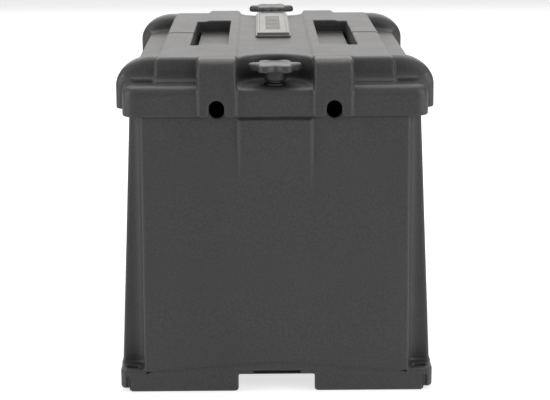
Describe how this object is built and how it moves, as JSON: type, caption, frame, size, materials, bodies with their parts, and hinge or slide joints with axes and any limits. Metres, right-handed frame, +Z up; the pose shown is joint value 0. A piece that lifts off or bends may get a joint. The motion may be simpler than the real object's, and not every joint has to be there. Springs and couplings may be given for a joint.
{
  "type": "deep cycle battery box",
  "caption": "Vented moulded battery box with a lift-off lid held by lobed knobs, holding deep-cycle batteries linked in series.",
  "frame": {"origin": "on the ground under the middle of the whole assembly", "axes": "+X across the box, +Y along it towards the end whose knob is backed off, +Z up"},
  "size_m": [0.34, 0.504, 0.3708],
  "materials": {
    "moulded_case": "fine textured moulded polyethylene",
    "plate": "satin moulded",
    "knob": "satin moulded",
    "brass": "machined",
    "steel": "zinc plated",
    "washer": "black sealing washer",
    "battery_case": "satin moulded polypropylene",
    "battery_cover": "satin moulded polypropylene",
    "vent_cap": "satin moulded polypropylene",
    "lead": "cast lead, dull",
    "cable_jacket": "matt insulated cable",
    "copper": "tinned copper"
  },
  "bodies": {
    "box": {"box_body": "moulded_case", "rod_front": "steel", "rod_rear": "steel", "anchor_front": "steel", "anchor_rear": "steel", "nut_front": "steel", "nut_rear": "steel", "battery_case_1": "battery_case", "battery_cover_1": "battery_cover", "post_pos_1": "lead", "post_neg_1": "lead", "stud_nut_pos_1": "steel", "stud_nut_neg_1": "steel", "battery_case_2": "battery_case", "battery_cover_2": "battery_cover", "post_pos_2": "lead", "post_neg_2": "lead", "stud_nut_pos_2": "steel", "stud_nut_neg_2": "steel", "link_cable": "cable_jacket", "link_lug_1": "copper", "link_lug_2": "copper"},
    "lid": {"lid": "moulded_case", "label_plate": "plate"},
    "washer_front": {"washer_front": "washer"},
    "knob_front": {"knob_front": "knob", "insert_front": "brass"},
    "washer_rear": {"washer_rear": "washer"},
    "knob_rear": {"knob_rear": "knob", "insert_rear": "brass"},
    "vent_cap_1": {"vent_cap_1": "vent_cap"},
    "vent_cap_2": {"vent_cap_2": "vent_cap"}
  },
  "joints": [
    {"name": "lid_lift", "type": "slide", "parent": "box", "child": "lid", "axis": [0, 0, 1], "range_m": [0, 0.15]},
    {"name": "knob_front_travel", "type": "slide", "parent": "lid", "child": "washer_front", "axis": [0, 0, 1], "range_m": [0, 0.0195]},
    {"name": "knob_front_turn", "type": "hinge", "parent": "washer_front", "child": "knob_front", "pos_m": [0, -0.226, 0.35], "axis": [0, 0, 1], "range_deg": [0, 4320]},
    {"name": "knob_rear_travel", "type": "slide", "parent": "lid", "child": "washer_rear", "axis": [0, 0, 1], "range_m": [-0.0145, 0.005]},
    {"name": "knob_rear_turn", "type": "hinge", "parent": "washer_rear", "child": "knob_rear", "pos_m": [0, 0.226, 0.364], "axis": [0, 0, 1], "range_deg": [-3240, 1080]},
    {"name": "vent_cap_1_flip", "type": "hinge", "parent": "box", "child": "vent_cap_1", "pos_m": [0, -0.129, 0.2866], "axis": [1, 0, 0], "range_deg": [0, 100]},
    {"name": "vent_cap_2_flip", "type": "hinge", "parent": "box", "child": "vent_cap_2", "pos_m": [0, 0.129, 0.2866], "axis": [-1, 0, 0], "range_deg": [0, 100]}
  ],
  "couplings": [
    {"joint": "knob_front_travel", "follows": "knob_front_turn", "m_per_rad": 0.00025266},
    {"joint": "knob_rear_travel", "follows": "knob_rear_turn", "m_per_rad": 0.00025266}
  ]
}
